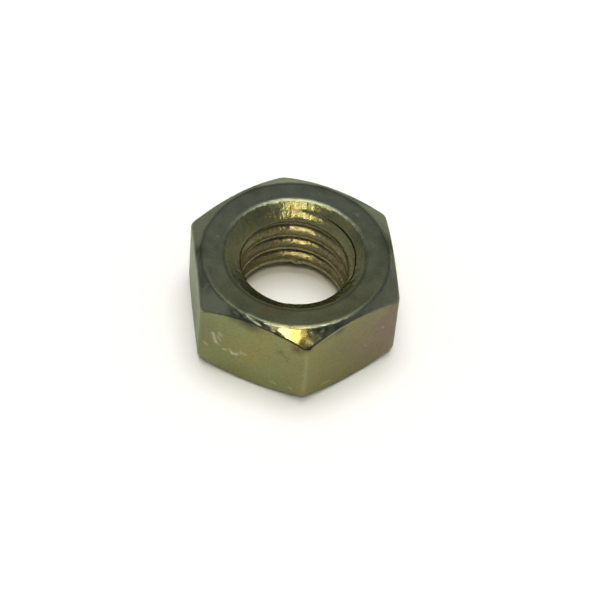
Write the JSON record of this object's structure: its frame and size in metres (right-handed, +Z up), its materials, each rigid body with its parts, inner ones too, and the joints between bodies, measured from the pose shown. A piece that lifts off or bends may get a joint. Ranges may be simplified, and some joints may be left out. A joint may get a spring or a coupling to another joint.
{
  "type": "hex nut",
  "caption": "Chamfered hex nut with a countersunk right-hand coarse thread right through, in plated steel.",
  "frame": {"origin": "centre of the lower bearing face, on the thread axis", "axes": "+Z up along the thread axis, +X out through the middle of a spanner flat, +Y out through a corner"},
  "size_m": [0.008, 0.0092, 0.0039],
  "materials": {
    "plated_steel": "zinc plated with a yellow to olive chromate film, semi-bright"
  },
  "bodies": {
    "root": {"hex_nut": "plated_steel"}
  },
  "joints": []
}
